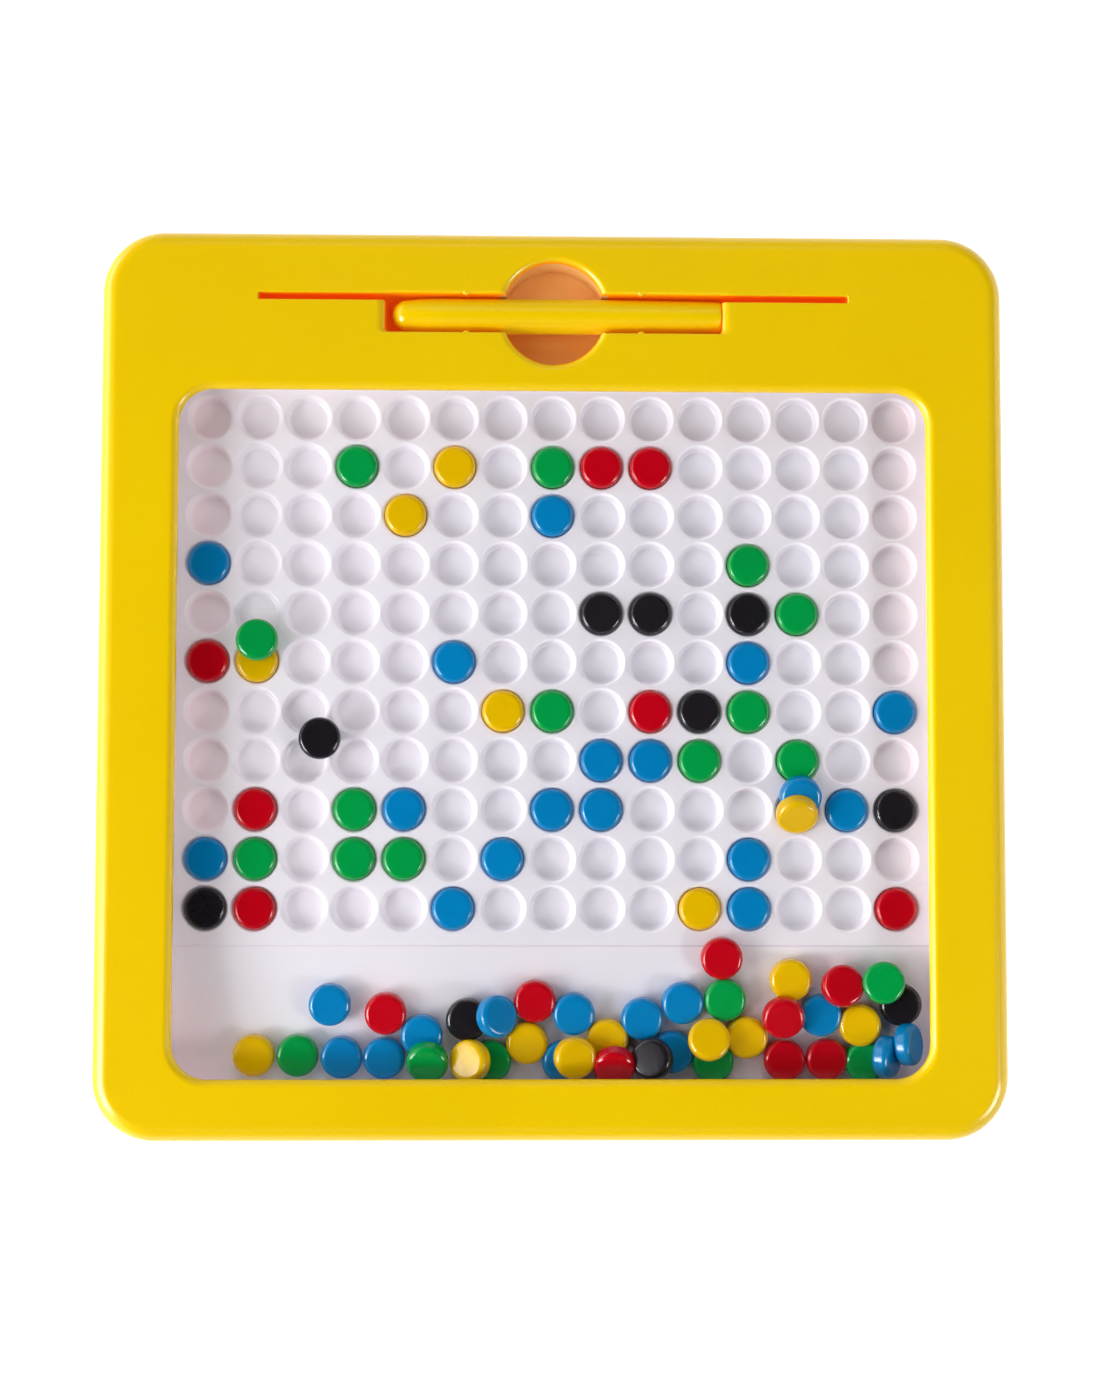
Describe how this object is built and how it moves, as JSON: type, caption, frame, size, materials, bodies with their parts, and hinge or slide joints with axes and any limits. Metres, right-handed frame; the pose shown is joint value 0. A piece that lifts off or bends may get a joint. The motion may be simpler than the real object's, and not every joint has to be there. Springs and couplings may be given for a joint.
{
  "type": "magnetic dot drawing board",
  "caption": "Square tablet toy with a dimpled panel of steel-cored tokens under a clear cover, a sloping token tray, and a magnetic pen in a slot.",
  "frame": {"origin": "centre of the flat back face, on the surface the board lies on", "axes": "+Z out of the window, +Y towards the edge with the pen slot, +X to the right seen from the front"},
  "size_m": [0.24, 0.24, 0.024],
  "materials": {
    "case_yellow": "smooth moulded, semi-gloss",
    "pen_yellow": "smooth moulded, semi-gloss",
    "panel_white": "smooth moulded, satin",
    "clear_plastic": "polished clear sheet with light scratches",
    "screw_steel": "zinc plated",
    "magnet_black": "sintered, matt",
    "token_red": "glossy moulded",
    "token_green": "glossy moulded",
    "token_blue": "glossy moulded",
    "token_yellow": "glossy moulded",
    "token_black": "glossy moulded"
  },
  "bodies": {
    "root": {"front_frame": "case_yellow", "back_cover": "case_yellow", "dimple_panel": "panel_white", "clear_cover": "clear_plastic", "case_screw_1": "screw_steel", "case_screw_2": "screw_steel", "case_screw_3": "screw_steel", "case_screw_4": "screw_steel", "case_screw_5": "screw_steel", "case_screw_6": "screw_steel"},
    "pen": {"pen_barrel": "pen_yellow", "pen_magnet": "magnet_black"},
    "token_r02_c04": {"token_r02_c04_green": "token_green"},
    "token_r02_c06": {"token_r02_c06_yellow": "token_yellow"},
    "token_r02_c08": {"token_r02_c08_green": "token_green"},
    "token_r02_c09": {"token_r02_c09_red": "token_red"},
    "token_r02_c10": {"token_r02_c10_red": "token_red"},
    "token_r03_c05": {"token_r03_c05_yellow": "token_yellow"},
    "token_r03_c08": {"token_r03_c08_blue": "token_blue"},
    "token_r04_c01": {"token_r04_c01_blue": "token_blue"},
    "token_r04_c12": {"token_r04_c12_green": "token_green"},
    "token_r05_c09": {"token_r05_c09_black": "token_black"},
    "token_r05_c10": {"token_r05_c10_black": "token_black"},
    "token_r05_c12": {"token_r05_c12_black": "token_black"},
    "token_r05_c13": {"token_r05_c13_green": "token_green"},
    "token_r06_c01": {"token_r06_c01_red": "token_red"},
    "token_r06_c02": {"token_r06_c02_yellow": "token_yellow"},
    "token_r06_c06": {"token_r06_c06_blue": "token_blue"},
    "token_r06_c12": {"token_r06_c12_blue": "token_blue"},
    "token_r07_c07": {"token_r07_c07_yellow": "token_yellow"},
    "token_r07_c08": {"token_r07_c08_green": "token_green"},
    "token_r07_c10": {"token_r07_c10_red": "token_red"},
    "token_r07_c11": {"token_r07_c11_black": "token_black"},
    "token_r07_c12": {"token_r07_c12_green": "token_green"},
    "token_r07_c15": {"token_r07_c15_blue": "token_blue"},
    "token_r08_c09": {"token_r08_c09_blue": "token_blue"},
    "token_r08_c10": {"token_r08_c10_blue": "token_blue"},
    "token_r08_c11": {"token_r08_c11_green": "token_green"},
    "token_r08_c13": {"token_r08_c13_green": "token_green"},
    "token_r09_c02": {"token_r09_c02_red": "token_red"},
    "token_r09_c04": {"token_r09_c04_green": "token_green"},
    "token_r09_c05": {"token_r09_c05_blue": "token_blue"},
    "token_r09_c08": {"token_r09_c08_blue": "token_blue"},
    "token_r09_c09": {"token_r09_c09_blue": "token_blue"},
    "token_r09_c14": {"token_r09_c14_blue": "token_blue"},
    "token_r09_c15": {"token_r09_c15_black": "token_black"},
    "token_r10_c01": {"token_r10_c01_blue": "token_blue"},
    "token_r10_c02": {"token_r10_c02_green": "token_green"},
    "token_r10_c04": {"token_r10_c04_green": "token_green"},
    "token_r10_c05": {"token_r10_c05_green": "token_green"},
    "token_r10_c07": {"token_r10_c07_blue": "token_blue"},
    "token_r10_c12": {"token_r10_c12_blue": "token_blue"},
    "token_r11_c01": {"token_r11_c01_black": "token_black"},
    "token_r11_c02": {"token_r11_c02_red": "token_red"},
    "token_r11_c06": {"token_r11_c06_blue": "token_blue"},
    "token_r11_c11": {"token_r11_c11_yellow": "token_yellow"},
    "token_r11_c12": {"token_r11_c12_blue": "token_blue"},
    "token_r11_c15": {"token_r11_c15_red": "token_red"}
  },
  "joints": [
    {"name": "lift_pen", "type": "slide", "parent": "root", "child": "pen", "axis": [0, 0, 1], "range_m": [0, 0.03]},
    {"name": "lift_r02_c04", "type": "slide", "parent": "root", "child": "token_r02_c04", "axis": [0, 0, 1], "range_m": [0, 0.006]},
    {"name": "lift_r02_c06", "type": "slide", "parent": "root", "child": "token_r02_c06", "axis": [0, 0, 1], "range_m": [0, 0.006]},
    {"name": "lift_r02_c08", "type": "slide", "parent": "root", "child": "token_r02_c08", "axis": [0, 0, 1], "range_m": [0, 0.006]},
    {"name": "lift_r02_c09", "type": "slide", "parent": "root", "child": "token_r02_c09", "axis": [0, 0, 1], "range_m": [0, 0.006]},
    {"name": "lift_r02_c10", "type": "slide", "parent": "root", "child": "token_r02_c10", "axis": [0, 0, 1], "range_m": [0, 0.006]},
    {"name": "lift_r03_c05", "type": "slide", "parent": "root", "child": "token_r03_c05", "axis": [0, 0, 1], "range_m": [0, 0.006]},
    {"name": "lift_r03_c08", "type": "slide", "parent": "root", "child": "token_r03_c08", "axis": [0, 0, 1], "range_m": [0, 0.006]},
    {"name": "lift_r04_c01", "type": "slide", "parent": "root", "child": "token_r04_c01", "axis": [0, 0, 1], "range_m": [0, 0.006]},
    {"name": "lift_r04_c12", "type": "slide", "parent": "root", "child": "token_r04_c12", "axis": [0, 0, 1], "range_m": [0, 0.006]},
    {"name": "lift_r05_c09", "type": "slide", "parent": "root", "child": "token_r05_c09", "axis": [0, 0, 1], "range_m": [0, 0.006]},
    {"name": "lift_r05_c10", "type": "slide", "parent": "root", "child": "token_r05_c10", "axis": [0, 0, 1], "range_m": [0, 0.006]},
    {"name": "lift_r05_c12", "type": "slide", "parent": "root", "child": "token_r05_c12", "axis": [0, 0, 1], "range_m": [0, 0.006]},
    {"name": "lift_r05_c13", "type": "slide", "parent": "root", "child": "token_r05_c13", "axis": [0, 0, 1], "range_m": [0, 0.006]},
    {"name": "lift_r06_c01", "type": "slide", "parent": "root", "child": "token_r06_c01", "axis": [0, 0, 1], "range_m": [0, 0.006]},
    {"name": "lift_r06_c02", "type": "slide", "parent": "root", "child": "token_r06_c02", "axis": [0, 0, 1], "range_m": [0, 0.006]},
    {"name": "lift_r06_c06", "type": "slide", "parent": "root", "child": "token_r06_c06", "axis": [0, 0, 1], "range_m": [0, 0.006]},
    {"name": "lift_r06_c12", "type": "slide", "parent": "root", "child": "token_r06_c12", "axis": [0, 0, 1], "range_m": [0, 0.006]},
    {"name": "lift_r07_c07", "type": "slide", "parent": "root", "child": "token_r07_c07", "axis": [0, 0, 1], "range_m": [0, 0.006]},
    {"name": "lift_r07_c08", "type": "slide", "parent": "root", "child": "token_r07_c08", "axis": [0, 0, 1], "range_m": [0, 0.006]},
    {"name": "lift_r07_c10", "type": "slide", "parent": "root", "child": "token_r07_c10", "axis": [0, 0, 1], "range_m": [0, 0.006]},
    {"name": "lift_r07_c11", "type": "slide", "parent": "root", "child": "token_r07_c11", "axis": [0, 0, 1], "range_m": [0, 0.006]},
    {"name": "lift_r07_c12", "type": "slide", "parent": "root", "child": "token_r07_c12", "axis": [0, 0, 1], "range_m": [0, 0.006]},
    {"name": "lift_r07_c15", "type": "slide", "parent": "root", "child": "token_r07_c15", "axis": [0, 0, 1], "range_m": [0, 0.006]},
    {"name": "lift_r08_c09", "type": "slide", "parent": "root", "child": "token_r08_c09", "axis": [0, 0, 1], "range_m": [0, 0.006]},
    {"name": "lift_r08_c10", "type": "slide", "parent": "root", "child": "token_r08_c10", "axis": [0, 0, 1], "range_m": [0, 0.006]},
    {"name": "lift_r08_c11", "type": "slide", "parent": "root", "child": "token_r08_c11", "axis": [0, 0, 1], "range_m": [0, 0.006]},
    {"name": "lift_r08_c13", "type": "slide", "parent": "root", "child": "token_r08_c13", "axis": [0, 0, 1], "range_m": [0, 0.006]},
    {"name": "lift_r09_c02", "type": "slide", "parent": "root", "child": "token_r09_c02", "axis": [0, 0, 1], "range_m": [0, 0.006]},
    {"name": "lift_r09_c04", "type": "slide", "parent": "root", "child": "token_r09_c04", "axis": [0, 0, 1], "range_m": [0, 0.006]},
    {"name": "lift_r09_c05", "type": "slide", "parent": "root", "child": "token_r09_c05", "axis": [0, 0, 1], "range_m": [0, 0.006]},
    {"name": "lift_r09_c08", "type": "slide", "parent": "root", "child": "token_r09_c08", "axis": [0, 0, 1], "range_m": [0, 0.006]},
    {"name": "lift_r09_c09", "type": "slide", "parent": "root", "child": "token_r09_c09", "axis": [0, 0, 1], "range_m": [0, 0.006]},
    {"name": "lift_r09_c14", "type": "slide", "parent": "root", "child": "token_r09_c14", "axis": [0, 0, 1], "range_m": [0, 0.006]},
    {"name": "lift_r09_c15", "type": "slide", "parent": "root", "child": "token_r09_c15", "axis": [0, 0, 1], "range_m": [0, 0.006]},
    {"name": "lift_r10_c01", "type": "slide", "parent": "root", "child": "token_r10_c01", "axis": [0, 0, 1], "range_m": [0, 0.006]},
    {"name": "lift_r10_c02", "type": "slide", "parent": "root", "child": "token_r10_c02", "axis": [0, 0, 1], "range_m": [0, 0.006]},
    {"name": "lift_r10_c04", "type": "slide", "parent": "root", "child": "token_r10_c04", "axis": [0, 0, 1], "range_m": [0, 0.006]},
    {"name": "lift_r10_c05", "type": "slide", "parent": "root", "child": "token_r10_c05", "axis": [0, 0, 1], "range_m": [0, 0.006]},
    {"name": "lift_r10_c07", "type": "slide", "parent": "root", "child": "token_r10_c07", "axis": [0, 0, 1], "range_m": [0, 0.006]},
    {"name": "lift_r10_c12", "type": "slide", "parent": "root", "child": "token_r10_c12", "axis": [0, 0, 1], "range_m": [0, 0.006]},
    {"name": "lift_r11_c01", "type": "slide", "parent": "root", "child": "token_r11_c01", "axis": [0, 0, 1], "range_m": [0, 0.006]},
    {"name": "lift_r11_c02", "type": "slide", "parent": "root", "child": "token_r11_c02", "axis": [0, 0, 1], "range_m": [0, 0.006]},
    {"name": "lift_r11_c06", "type": "slide", "parent": "root", "child": "token_r11_c06", "axis": [0, 0, 1], "range_m": [0, 0.006]},
    {"name": "lift_r11_c11", "type": "slide", "parent": "root", "child": "token_r11_c11", "axis": [0, 0, 1], "range_m": [0, 0.006]},
    {"name": "lift_r11_c12", "type": "slide", "parent": "root", "child": "token_r11_c12", "axis": [0, 0, 1], "range_m": [0, 0.006]},
    {"name": "lift_r11_c15", "type": "slide", "parent": "root", "child": "token_r11_c15", "axis": [0, 0, 1], "range_m": [0, 0.006]}
  ]
}
